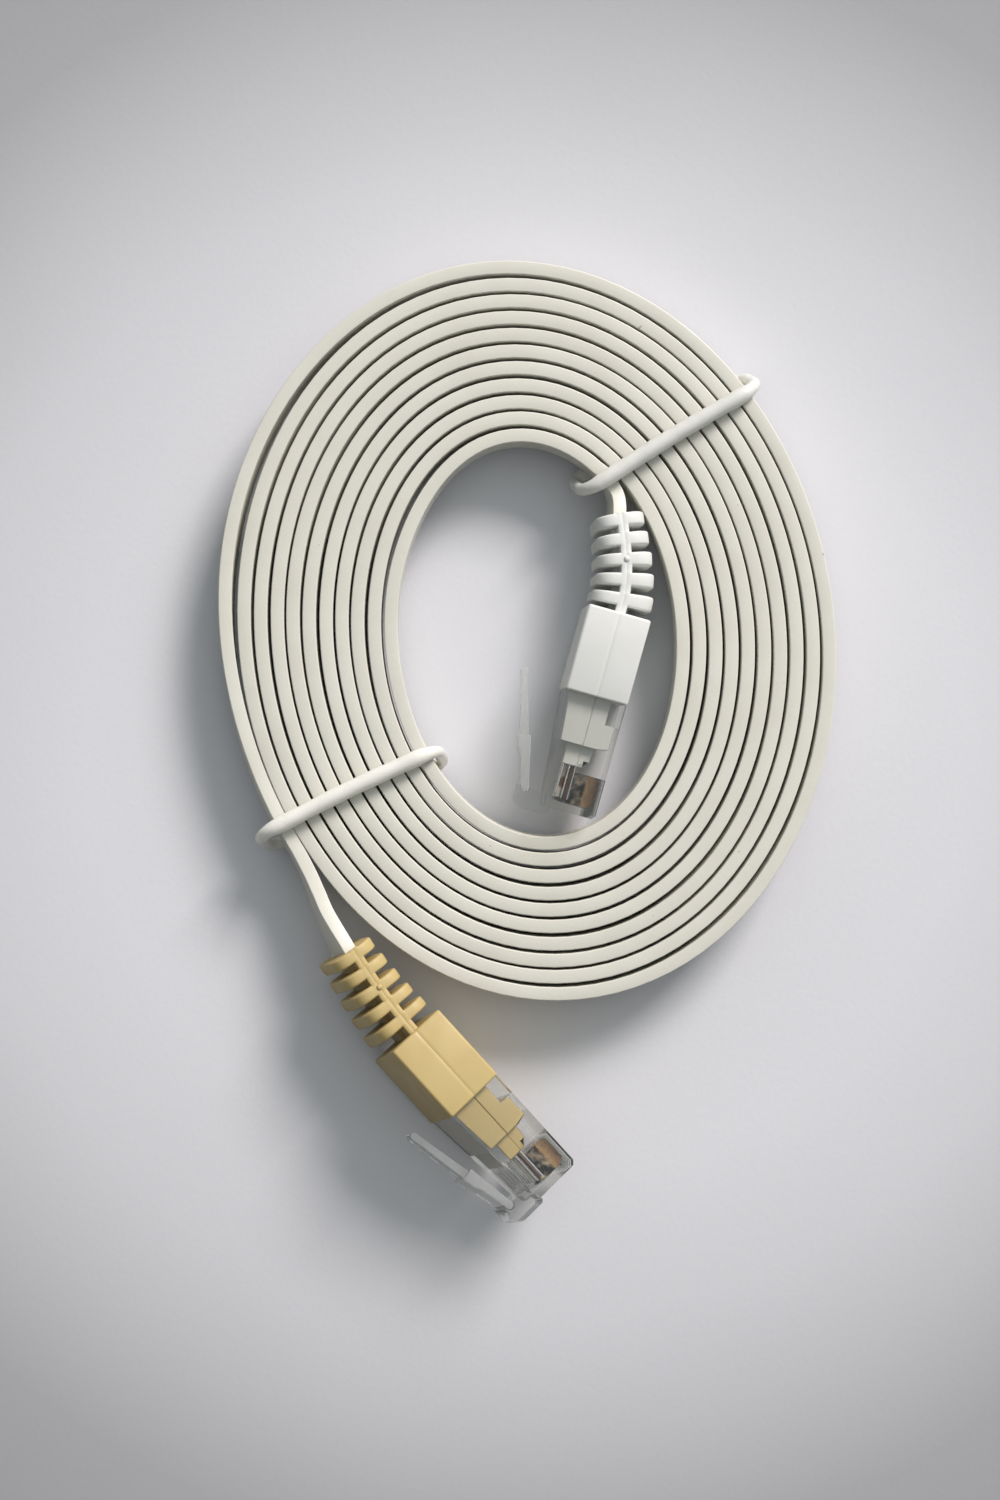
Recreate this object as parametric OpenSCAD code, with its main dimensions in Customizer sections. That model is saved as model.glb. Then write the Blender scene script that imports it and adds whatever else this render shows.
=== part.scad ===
// Flat network patch cable, two metres, wound on edge into an oval coil that two
// elastic loops hold. Each end has a clear eight-contact modular plug in a moulded boot:
// white on the inner end, which lies in the coil, and yellow on the outer end.
// Millimetres. The floor is z = 0 and the origin is under the middle of the whole cable.

/* [Flat cable] */
// Width of the flat jacket, which stands on edge
jacket_w = 5.8; // [5.4:0.1:5.8]
// Thickness of the flat jacket
jacket_t = 1.5; // [1.3:0.05:1.5]
// Height that the rounded edge of the jacket takes
jacket_edge = 0.45; // [0.3:0.05:0.6]

/* [Coil] */
// Angle at which the innermost turn starts
coil_start = 69; // [60:1:70]
// Turns from the inner end to the outer end
coil_turns = 10.42; // [9.42:1:10.42]
// Half the width of the oval that the innermost turn follows
inner_half_w = 17.3; // [17:0.1:18]
// Half the length of that oval
inner_half_l = 25.2; // [25:0.1:26]
// How much the half width grows in a turn
pitch_w = 2.034; // [2.03:0.002:2.06]
// How much the half length grows in a turn
pitch_l = 2.138; // [2.12:0.002:2.16]
// Angle of the oval's long axis at the inner end
oval_tilt = 96.2; // [90:0.2:100]
// How far the long axis turns in a turn of the coil
oval_turn = 0.38; // [0:0.02:0.4]

/* [Elastic loops] */
// Thickness of the round elastic
tie_d = 2; // [1.9:0.1:2.2]
// Length of the upper loop's straight run and its ends, measured on the cord's middle
upper_tie_l = 25.8; // [25.6:0.1:26.4]
// The same length on the lower loop
lower_tie_l = 25.4; // [25.2:0.1:26.4]
// Play between the loops and the jacket's edges
tie_play = 0.08; // [0.05:0.01:0.2]

/* [Plug housing] */
// Width of the plug, across its eight contacts
plug_w = 11.68; // [11.6:0.01:11.79]
// Thickness of the plug at its nose
plug_t = 6.5; // [6.4:0.05:6.6]
// Length of the plug in front of its boot
plug_l = 14.8; // [14.6:0.1:15]
// How much thicker the plug is at its boot
plug_taper = 1.25; // [1.1:0.05:1.3]
// Thickness of the plug's side walls
wall = 0.55; // [0.5:0.05:0.6]
// Distance between neighbouring contacts
contact_pitch = 1.02; // [1.01:0.01:1.02]
// Thickness of a contact blade
blade_t = 0.35; // [0.3:0.01:0.36]
// Width of the slot in which a blade stands
slot_w = 0.47; // [0.45:0.01:0.5]
// Diameter of an insulated conductor
wire_d = 0.86; // [0.8:0.01:0.88]
// Diameter of the channel round a conductor
channel_d = 0.98; // [0.96:0.01:1]
// How far the two rows of conductors stand from their middle
stagger = 0.38; // [0.36:0.01:0.4]

/* [Latch] */
// Width of the latch where it locks
latch_w = 6.2; // [6:0.1:6.3]
// Width of the latch's lever
lever_w = 3.2; // [3:0.1:3.3]
// Thickness of the lever
lever_t = 1.05; // [0.95:0.05:1.1]
// Distance from the hinge to the lever's tip
lever_reach = 15.1; // [14.8:0.1:15.4]
// How much further than its moulded angle the white plug's latch stands open
white_latch_open = 2.5; // [-2:0.5:3]
// The same angle on the yellow plug
yellow_latch_open = -2; // [-2:0.5:3]

/* [Boot] */
// Length of the boot's solid block
block_l = 11; // [10.8:0.1:11.2]
// Width of the block, along the plug's width
block_w = 13.2; // [13:0.1:13.4]
// Thickness of the block
block_t = 8.05; // [8:0.05:8.1]
// Radius of the block's long edges
block_r = 0.4; // [0.3:0.1:0.8]
// Ribs on the strain relief
rib_count = 5; // [4:1:6]
// Distance from one rib to the next on the white boot
white_rib_pitch = 2.43; // [2.38:0.01:2.48]
// The same distance on the yellow boot, which is pulled straighter
yellow_rib_pitch = 2.57; // [2.5:0.01:2.62]
// Thickness of a rib
rib_t = 1.55; // [1.5:0.05:1.6]
// Width of the spine that joins the ribs on each narrow side
spine_w = 1.3; // [1.2:0.1:1.6]
// Angle through which the white strain relief bends
white_bend = 25; // [22:1:27]
// Angle through which the yellow strain relief bends
yellow_bend = -9; // [-11:1:-7]

/* [Hidden] */

// The eight conductors' insulation, in the order of the contacts
wire_colours = ["moccasin", "darkorange", "honeydew", "royalblue",
                "aliceblue", "seagreen", "linen", "saddlebrown"];

// ---- Coil -------------------------------------------------------------------------
coil_centre = [0.5, 13.65];
coil_z = tie_d + tie_play + jacket_w / 2;
coil_end = coil_start + 360 * coil_turns;
rings_per_turn = 24;
ring_count = ceil(coil_turns * rings_per_turn);
ring_step = 360 * coil_turns / ring_count;
straight_end = 1.6;

function unit(v) = v / norm(v);

// Distance from the coil's middle to the jacket's middle line at angle t, which keeps
// counting from one turn to the next
function coil_r(t) =
    let (turn = (t - coil_start) / 360, half_w = inner_half_w + pitch_w * turn,
         half_l = inner_half_l + pitch_l * turn,
         from_axis = t - oval_tilt - oval_turn * turn)
    half_w * half_l / norm([half_w * cos(from_axis), half_l * sin(from_axis)]);
function coil_point(t) =
    [coil_centre.x + coil_r(t) * cos(t), coil_centre.y + coil_r(t) * sin(t), coil_z];
function coil_heading(t) = unit(coil_point(t + 0.5) - coil_point(t - 0.5));

coil_angles = [for (i = [0:ring_count]) coil_start + i * ring_step];
inner_heading = coil_heading(coil_start);
outer_heading = coil_heading(coil_end);
inner_tip = coil_point(coil_start) - straight_end * inner_heading;
outer_tip = coil_point(coil_end) + straight_end * outer_heading;

// A ring of a swept jacket: the section's points stand across the heading and lean by
// an angle about it, and a positive lean takes the top edge to the left
function across(heading, lean) =
    let (left = unit([-heading.y, heading.x, 0]), up = cross(heading, left))
    [left * cos(lean) - up * sin(lean), up * cos(lean) + left * sin(lean)];
function ring(section, at, heading, lean = 0) =
    let (axes = across(heading, lean))
    [for (p = section) at + p.x * axes[0] + p.y * axes[1]];

coil_section = [
    [jacket_t / 2, jacket_edge - jacket_w / 2], [jacket_t / 2, jacket_w / 2 - jacket_edge],
    [0, jacket_w / 2], [-jacket_t / 2, jacket_w / 2 - jacket_edge],
    [-jacket_t / 2, jacket_edge - jacket_w / 2], [0, -jacket_w / 2]];
edge_flat = jacket_t / 4;
lead_section = [
    [jacket_t / 2, jacket_edge - jacket_w / 2], [jacket_t / 2, jacket_w / 2 - jacket_edge],
    [edge_flat, jacket_w / 2], [-edge_flat, jacket_w / 2],
    [-jacket_t / 2, jacket_w / 2 - jacket_edge], [-jacket_t / 2, jacket_edge - jacket_w / 2],
    [-edge_flat, -jacket_w / 2], [edge_flat, -jacket_w / 2]];

// Least gap between one turn and the next, over every ring and the segments beside it
function to_segment(p, a, b) =
    let (along = b - a, share = min(1, max(0, ((p - a) * along) / (along * along))))
    norm(p - a - share * along);
coil_line = [for (t = coil_angles) coil_point(t)];
least_gap = min([for (i = [0:ring_count - rings_per_turn - 2])
    for (j = [-2:1])
        to_segment(coil_line[i], coil_line[max(i + 2, i + rings_per_turn + j)],
                   coil_line[i + rings_per_turn + j + 1])]) - jacket_t;
jacket_run = [for (i = [1:ring_count]) norm(coil_line[i] - coil_line[i - 1])];
function total(v) = v * [for (i = v) 1];
echo(least_gap_between_turns = least_gap, coil_length = total(jacket_run));

// A closed solid from rings of equal count, all of its faces triangles
module swept(rings) {
    sides = len(rings[0]);
    last = len(rings) - 1;
    points = [for (r = rings) for (p = r) p];
    walls = [for (i = [0:last - 1]) for (j = [0:sides - 1])
        let (a = i * sides + j, b = i * sides + (j + 1) % sides)
        each [[a, b + sides, b], [a, a + sides, b + sides]]];
    first_cap = [for (j = [1:sides - 2]) [0, j, j + 1]];
    last_cap = [for (j = [1:sides - 2])
        [last * sides, last * sides + j + 1, last * sides + j]];
    polyhedron(points, concat(walls, first_cap, last_cap), convexity = 24);
}

module cable_coil() {
    color("antiquewhite") swept(concat(
        [ring(coil_section, inner_tip, inner_heading)],
        [for (t = coil_angles) ring(coil_section, coil_point(t), coil_heading(t))],
        [ring(coil_section, outer_tip, outer_heading)]));
}

// ---- Plug and boot placement --------------------------------------------------------
// A plug's own axes: x runs out of its nose, y towards its contacts and z across them.
// Each end is [nose point, heading, roll, bend of the relief, dip and roll at its tail,
// rib pitch, how much wider than the others the slot next to the block is]
white_nose = [4.75, -8.7, 6.7];
white_heading = -105.6;
white_roll = -2.5;
yellow_nose = [2.28, -55.69, 7.07];
yellow_heading = -47.65;
yellow_roll = -17.2;
WHITE = [white_nose, white_heading, white_roll, white_bend, 4.9, -8.5, white_rib_pitch, 0];
YELLOW = [yellow_nose, yellow_heading, yellow_roll, yellow_bend, -4.3, -20.8,
          yellow_rib_pitch, 0.4];

function about_z(p, a) = [p.x * cos(a) - p.y * sin(a), p.x * sin(a) + p.y * cos(a), p.z];
function about_x(p, a) = [p.x, p.y * cos(a) - p.z * sin(a), p.y * sin(a) + p.z * cos(a)];
function placed(end, p) = end[0] + about_z(about_x(p, end[2]), end[1]);
module place(end) translate(end[0]) rotate([0, 0, end[1]]) rotate([end[2], 0, 0]) children();

// ---- Boot -----------------------------------------------------------------------------
block_y = -plug_taper / 2 - 0.05;
relief_from = [-plug_l - block_l, block_y + 0.1, 0];
rear_rib = [6.25, 8.6];
front_rib = [7.8, 10.6];
rib_r = 2.2;
// The core inside the ribs, the spine's depth below their ends, and how far both reach
// into the ribs beside them
core = [2.4, 6.2];
core_r = 0.8;
spine_r = 0.3;
spine_sink = 0.1;
rib_bite = 0.4;

// Length, heading, dip and roll of the strain relief at a distance s behind the block, and
// the point of its middle line there
function relief_l(end) = end[7] + rib_count * end[6];
function relief_heading(end, s) = end[1] + end[3] * sin(90 * s / relief_l(end));
function mean_heading(end, s) =
    let (turned = 90 * s / relief_l(end))
    end[1] + end[3] * (1 - cos(turned)) / (turned * PI / 180);
function relief_dip(end, s) = end[4] * s / relief_l(end);
function relief_roll(end, s) = end[2] + (end[5] - end[2]) * s / relief_l(end);
function relief_point(end, s) =
    placed(end, relief_from)
    - s * [cos(relief_dip(end, s / 2)) * cos(mean_heading(end, s)),
           cos(relief_dip(end, s / 2)) * sin(mean_heading(end, s)),
           sin(relief_dip(end, s / 2))];
function relief_direction(end, s) =
    [cos(relief_dip(end, s)) * cos(relief_heading(end, s)),
     cos(relief_dip(end, s)) * sin(relief_heading(end, s)), sin(relief_dip(end, s))];
module on_relief(end, s)
    translate(relief_point(end, s))
        rotate([0, 0, relief_heading(end, s)])
            rotate([0, -relief_dip(end, s), 0])
                rotate([relief_roll(end, s), 0, 0]) children();

module rounded_outline(size, r) {
    square([size.x, size.y - 2 * r], center = true);
    square([size.x - 2 * r, size.y], center = true);
    for (x = [-1, 1], y = [-1, 1])
        translate([x * (size.x / 2 - r), y * (size.y / 2 - r)]) circle(r = r, $fn = 32);
}

// A slab of the given thickness whose face stands across the plug's x axis
module slab(size, r, thickness)
    rotate([90, 0, 90]) linear_extrude(thickness) rounded_outline(size, r);

// The moulding's front, which fills the rear of the clear housing: its lower step, the
// shoulder that keys into the housing, and the tongue that the conductors leave
core_w = plug_w - 2 * wall - 0.1;
tongue_w = 8.6;
shoulder_x = [-11.75, -8.5];
tongue_x = -5.8;
core_top = 1.35;
core_floor = 0.5;
shoulder_nose = [0.35, 1.2];
shoulder_top = 2.6;
tongue_y = [-2.5, -0.8];
tongue_root = [0.5, 1];
tongue_slope = [0.9, 0.75];
// Clearance of the housing round the moulding
fill_play = 0.04;
function latch_side(x) = -plug_t / 2 + plug_taper * x / plug_l;
module moulded_core(play, width) {
    floor_y = core_floor - play;
    linear_extrude(width + 2 * play, center = true)
        polygon([
            [-plug_l - 0.01, latch_side(-plug_l) + floor_y],
            [shoulder_x[1] + play, latch_side(shoulder_x[1]) + floor_y],
            [shoulder_x[1] + play, shoulder_nose.y + play],
            [shoulder_x[1] - shoulder_nose.x + play, shoulder_top + play],
            [shoulder_x[0] - play, shoulder_top + play],
            [shoulder_x[0] - play, core_top + play],
            [-plug_l - 0.01, core_top + play]]);
}
module moulded_tongue(play)
    linear_extrude(tongue_w + 2 * play, center = true)
        polygon([
            [shoulder_x[1] - tongue_root.x, tongue_y[0] - play],
            [tongue_x + play, tongue_y[0] - play], [tongue_x + play, tongue_y[1] + play],
            [tongue_x - tongue_slope.x + play, tongue_slope.y + play],
            [shoulder_x[1] - tongue_root.x, tongue_root.y + play]]);

module ribs(end) {
    pitch = end[6];
    from = end[7];
    for (i = [0:rib_count - 1]) {
        share = i / (rib_count - 1);
        size = rear_rib * share + front_rib * (1 - share);
        on_relief(end, from + (i + 1) * pitch - rib_t / 2)
            translate([-rib_t / 2, 0, 0]) slab(size, rib_r, rib_t);
        // Core and spine between this rib and the one before it, or the block
        on_relief(end, from / 2 + i * pitch + (pitch - rib_t) / 2) {
            length = from + pitch - rib_t + 2 * rib_bite;
            translate([-length / 2, 0, 0]) slab(core, core_r, length);
            translate([-length / 2, 0, 0])
                slab([spine_w, size.y - 2 * spine_sink], spine_r, length);
        }
    }
}

module boot(end) {
    place(end) {
        translate([-plug_l - block_l, block_y, 0]) slab([block_t, block_w], block_r, block_l);
        moulded_core(0, core_w);
        moulded_tongue(0);
    }
    ribs(end);
}
module white_boot() color("white") boot(WHITE);
module yellow_boot() color("burlywood") boot(YELLOW);

// ---- Leads ------------------------------------------------------------------------------
// Each lead runs from the coil's straight end to the rear rib. The points between are
// chosen by hand, and each has a lean
white_route = [[10.7, 32.1, 5.15, -2], [11.05, 30.6, 5.5, -5]];
yellow_route = [[-28.1, -16.7, 5.2, -3], [-27, -19.3, 5.7, -7], [-25.8, -22.1, 6.5, -12]];

function route_rings(start, heading, route, end) =
    let (last_rib = relief_l(end) - rib_t / 2, tail_heading = relief_direction(end, last_rib),
         tail = relief_point(end, last_rib) - rib_t / 2 * tail_heading,
         line = concat([start], [for (p = route) [p.x, p.y, p.z]], [tail]))
    concat(
        [ring(lead_section, start, heading, 0)],
        [for (i = [0:len(route) - 1])
            ring(lead_section, line[i + 1], unit(line[i + 2] - line[i]), -route[i][3])],
        [ring(lead_section, tail, tail_heading, -relief_roll(end, last_rib))]);
module white_end_lead()
    color("antiquewhite") swept(route_rings(inner_tip, -inner_heading, white_route, WHITE));
module yellow_end_lead()
    color("antiquewhite") swept(route_rings(outer_tip, outer_heading, yellow_route, YELLOW));

// ---- Elastic loops ------------------------------------------------------------------------
// A closed loop of round cord: straight runs joined by quarter turns
tie_h = jacket_w + tie_d + 2 * tie_play;
tie_corner = 2;
module cord_loop(length, height) {
    x = length / 2 - tie_corner;
    z = height / 2 - tie_corner;
    for (side = [-1, 1]) {
        translate([-x, 0, side * height / 2]) rotate([0, 90, 0])
            cylinder(h = 2 * x, d = tie_d, $fn = 32);
        translate([side * length / 2, 0, -z]) cylinder(h = 2 * z, d = tie_d, $fn = 32);
    }
    for (corner = [[1, 1, 0], [-1, 1, 90], [-1, -1, 180], [1, -1, 270]])
        translate([corner[0] * x, 0, corner[1] * z]) rotate([90, 0, 0])
            rotate([0, 0, corner[2]]) rotate_extrude(angle = 90, $fn = 48)
                translate([tie_corner, 0]) circle(d = tie_d, $fn = 32);
}
// The loop stands across the jacket at an angle, and its plane leans
module tie(centre, along, lean, length)
    translate([centre.x, centre.y, coil_z]) rotate([0, 0, along]) rotate([lean, 0, 0])
        cord_loop(length, tie_h / cos(lean));
module upper_tie() color("whitesmoke") tie([17.25, 39.4], 31.5, 18, upper_tie_l);
module lower_tie() color("whitesmoke") tie([-22.3, -7.05], 26, -14, lower_tie_l);

// ---- Plug housing ----------------------------------------------------------------------------
root_x = 1.7;
root_y = -6.05;
root_h = 3.6;
root_lip = 1;
root_r = 1.1;
// Depth that the root overlaps the housing, where its lip starts on the nose, and the
// chamfer there
root_bite = 0.3;
root_top = -2.45;
root_chamfer = 0.3;
nose_chamfer = 0.5;
window_w = 8.2;
bead_r = 0.55;
bead_play = 0.1;
wire_y = -1.45;
wire_from = tongue_x + 0.03;
wire_to = -1.6;
blade_x = [-5, -1.1];
blade_top = plug_t / 2 - 0.5;
blade_shoulder = -0.35;

function wire_z(i) = (i - 4.5) * contact_pitch;
function wire_row(i) = wire_y + (i % 2 == 0 ? stagger : -stagger);

// Outer form seen along the contacts: flat on the contact side, tapered on the latch side
module housing_form()
    linear_extrude(plug_w, center = true)
        polygon([[0, -plug_t / 2], [0, plug_t / 2 - nose_chamfer], [-nose_chamfer, plug_t / 2],
                 [-plug_l, plug_t / 2], [-plug_l, latch_side(-plug_l)]]);

// The block at the nose that the latch is hinged on
module latch_root()
    difference() {
        linear_extrude(latch_w, center = true) {
            polygon([[-root_bite, root_bite - plug_t / 2], [-root_bite, root_top],
                     [root_lip - root_chamfer, root_top], [root_lip, root_top - root_chamfer],
                     [root_lip, root_r - plug_t / 2 - root_h],
                     [root_lip - root_r, -plug_t / 2 - root_h], [-root_x, -plug_t / 2 - root_h],
                     [-root_x, root_bite - plug_t / 2]]);
            translate([root_lip - root_r, root_r - plug_t / 2 - root_h])
                circle(r = root_r, $fn = 48);
        }
        translate([-root_x, root_y, -latch_w])
            cylinder(h = 2 * latch_w, r = bead_r + bead_play, $fn = 32);
    }

// Slot of one blade: a well as deep as the conductor's channel and a groove out of the
// nose, both open on the contact side
module blade_slot(i)
    translate([0, 0, wire_z(i)]) linear_extrude(slot_w, center = true) {
        translate([blade_x[0] - 0.1, wire_row(i) - 0.4])
            square([blade_x[1] - blade_x[0] + 0.2, plug_t]);
        translate([blade_x[1], plug_t / 2 - 1.5]) square([2, 2]);
    }

module plug_housing(end)
    place(end) {
        difference() {
            housing_form();
            moulded_core(fill_play, core_w);
            moulded_tongue(fill_play);
            // Window of the strain relief on the contact side
            translate([-plug_l - 1, core_top + fill_play, -window_w / 2])
                cube([plug_l + 1 + shoulder_x[0] - fill_play, plug_t, window_w]);
            for (i = [1:8]) {
                translate([tongue_x, wire_row(i), wire_z(i)]) rotate([0, 90, 0])
                    cylinder(h = wire_to - tongue_x + 0.1, d = channel_d, $fn = 24);
                blade_slot(i);
            }
        }
        latch_root();
    }
module white_plug_housing() color("lightcyan", 0.45) plug_housing(WHITE);
module yellow_plug_housing() color("lightcyan", 0.45) plug_housing(YELLOW);

// ---- Latch ------------------------------------------------------------------------------------
moulded_angle = 13;
web_l = 6.5;
web_t = 1;
shoulder_l = 1.5;
// How much the web thickens to its locking shoulder above and below, and the run of the
// slope behind it
shoulder_rise = [0.25, 0.35];
shoulder_run = 1.2;
web_inset = 0.07;
lever_root = 0.5;
lever_taper = 0.1;

// Drawn from its hinge along -x, then turned to the angle at which it stands
module latch_form() {
    cylinder(h = latch_w - 0.1, r = bead_r, center = true, $fn = 32);
    linear_extrude(latch_w - 0.1, center = true)
        polygon([[0, bead_r - web_inset], [-web_l, web_t / 2 + shoulder_rise[0]],
                 [-web_l, -web_t / 2 - shoulder_rise[1]],
                 [shoulder_l - web_l, -web_t / 2 - shoulder_rise[1]],
                 [shoulder_l + shoulder_run - web_l, -web_t / 2], [0, web_inset - bead_r]]);
    linear_extrude(lever_w, center = true)
        polygon([[lever_root - web_l, lever_t / 2],
                 [lever_t / 2 - lever_reach, lever_t / 2 - lever_taper],
                 [lever_t / 2 - lever_reach, lever_taper - lever_t / 2],
                 [lever_root - web_l, -lever_t / 2]]);
    translate([lever_t / 2 - lever_reach, 0, 0])
        cylinder(h = lever_w, d = lever_t - 2 * lever_taper, center = true, $fn = 24);
}
module plug_latch(end, open)
    place(end) translate([-root_x, root_y, 0]) rotate([0, 0, moulded_angle + open])
        latch_form();
module white_plug_latch() color("lightcyan", 0.45) plug_latch(WHITE, white_latch_open);
module yellow_plug_latch() color("lightcyan", 0.45) plug_latch(YELLOW, yellow_latch_open);

// ---- Contacts and conductors ----------------------------------------------------------------------
// Stamped blade: a rounded crown that the socket's spring wipes, and three tines that
// pierce the conductor
tine_w = 0.5;
tine_tip = 0.3;
tine_bite = 0.28;
crown_rear = [0.35, 0.6];
crown_front = [0.5, 0.7];
module blade_form(i) {
    tine_end = wire_row(i) - tine_bite;
    tine_from = blade_shoulder + 0.1;
    polygon([[blade_x[0], blade_shoulder], [blade_x[0], blade_top - crown_rear.y],
             [blade_x[0] + crown_rear.x, blade_top], [blade_x[1] - crown_front.x, blade_top],
             [blade_x[1], blade_top - crown_front.y], [blade_x[1], blade_shoulder]]);
    for (x = [blade_x[0] + 0.3, (blade_x[0] + blade_x[1]) / 2, blade_x[1] - 0.3])
        polygon([[x - tine_w / 2, tine_from], [x + tine_w / 2, tine_from],
                 [x + tine_w / 2, tine_end + tine_tip], [x, tine_end],
                 [x - tine_w / 2, tine_end + tine_tip]]);
}
module blade(i)
    translate([0, 0, wire_z(i)]) linear_extrude(blade_t, center = true) blade_form(i);
module contact(end, i) color("goldenrod") place(end) blade(i);

module conductor(end, i)
    color(wire_colours[i - 1]) place(end) difference() {
        translate([wire_from, wire_row(i), wire_z(i)]) rotate([0, 90, 0])
            cylinder(h = wire_to - wire_from, d = wire_d, $fn = 24);
        blade(i);
    }

cable_coil();
white_end_lead();
yellow_end_lead();
upper_tie();
lower_tie();
white_boot();
white_plug_housing();
white_plug_latch();
yellow_boot();
yellow_plug_housing();
yellow_plug_latch();
for (i = [1:8]) {
    contact(WHITE, i);
    conductor(WHITE, i);
    contact(YELLOW, i);
    conductor(YELLOW, i);
}
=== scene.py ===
"""Looks of a two-metre flat network patch cable, wound on edge into an oval coil.

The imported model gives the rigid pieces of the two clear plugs. This script puts the flat
jacket, the elastic loops and the moulded boots in place of their plain solids, and dresses
every surface. Angles are in degrees. Lengths are in millimetres, but for a finish's bleed and
the camera's clip_m, which are in metres. A plug's own axes are x out of its nose, y towards
its contacts and z across them.
"""

import logging
import math
from dataclasses import dataclass, field, replace
from enum import Enum
from typing import Iterable, Sequence

import bmesh
import bpy
import numpy as np
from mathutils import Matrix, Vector

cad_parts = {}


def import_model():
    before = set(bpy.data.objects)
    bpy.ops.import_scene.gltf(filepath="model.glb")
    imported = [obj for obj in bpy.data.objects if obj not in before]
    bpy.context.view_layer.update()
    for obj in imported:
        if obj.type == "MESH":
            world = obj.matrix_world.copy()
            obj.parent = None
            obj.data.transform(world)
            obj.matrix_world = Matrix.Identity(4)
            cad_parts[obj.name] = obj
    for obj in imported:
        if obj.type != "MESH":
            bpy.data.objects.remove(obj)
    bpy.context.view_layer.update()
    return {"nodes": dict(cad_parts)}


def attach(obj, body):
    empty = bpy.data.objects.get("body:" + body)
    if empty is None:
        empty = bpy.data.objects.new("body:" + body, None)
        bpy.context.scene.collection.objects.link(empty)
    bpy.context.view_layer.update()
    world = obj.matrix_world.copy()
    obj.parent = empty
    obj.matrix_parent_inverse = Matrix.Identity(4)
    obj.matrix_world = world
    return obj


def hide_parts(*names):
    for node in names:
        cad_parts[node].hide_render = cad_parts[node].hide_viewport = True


LOG = logging.getLogger("patch_cable")
MM = 0.001
Point = Sequence[float]
Colour = tuple[float, float, float]


def linear(colour: Colour) -> tuple[float, float, float, float]:
    """Turns a colour as it looks on screen into the linear one that a shader takes.

    Args:
        colour: Red, green and blue from 0 to 1, as seen.

    Returns:
        The linear colour with an alpha of 1.
    """
    parts = [c / 12.92 if c <= 0.04045 else ((c + 0.055) / 1.055) ** 2.4 for c in colour]
    return (parts[0], parts[1], parts[2], 1.0)


def unit(v: np.ndarray) -> np.ndarray:
    """Returns the vector at length 1."""
    return v / np.linalg.norm(v)


def ease(share: float) -> float:
    """Returns a smooth step from 0 to 1 as share goes from 0 to 1."""
    t = min(1.0, max(0.0, share))
    return t * t * (3 - 2 * t)


def waves(terms: Sequence[Point], at: float) -> float:
    """Returns the sum of sine waves at that place; each term is a size and a rate."""
    return sum(size * math.sin(rate * at) for size, rate in terms)


def direction(heading: float, rise: float) -> tuple[float, float, float]:
    """Returns the unit vector with that heading in plan and that rise over the floor."""
    a, e = math.radians(heading), math.radians(rise)
    return (math.cos(a) * math.cos(e), math.sin(a) * math.cos(e), math.sin(e))


def report(piece: bpy.types.Object) -> None:
    """Logs a piece's name and how many faces it has."""
    LOG.info("%s: %d faces", piece.name, len(piece.data.polygons))


# ---- Shader maths -------------------------------------------------------------------


class Signal:
    """A value, colour or vector on its way through a material's nodes."""

    def __init__(self, bench: "Bench", socket: bpy.types.NodeSocket) -> None:
        """Keeps the socket and the bench that it is wired on."""
        self.bench = bench
        self.socket = socket

    def __add__(self, other: "Signal | float") -> "Signal":
        """Returns self + other."""
        return self.bench.maths("ADD", self, other)

    def __radd__(self, other: float) -> "Signal":
        """Returns other + self."""
        return self.bench.maths("ADD", other, self)

    def __sub__(self, other: "Signal | float") -> "Signal":
        """Returns self - other."""
        return self.bench.maths("SUBTRACT", self, other)

    def __rsub__(self, other: float) -> "Signal":
        """Returns other - self."""
        return self.bench.maths("SUBTRACT", other, self)

    def __mul__(self, other: "Signal | float") -> "Signal":
        """Returns self * other."""
        return self.bench.maths("MULTIPLY", self, other)

    def __rmul__(self, other: float) -> "Signal":
        """Returns other * self."""
        return self.bench.maths("MULTIPLY", other, self)


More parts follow.
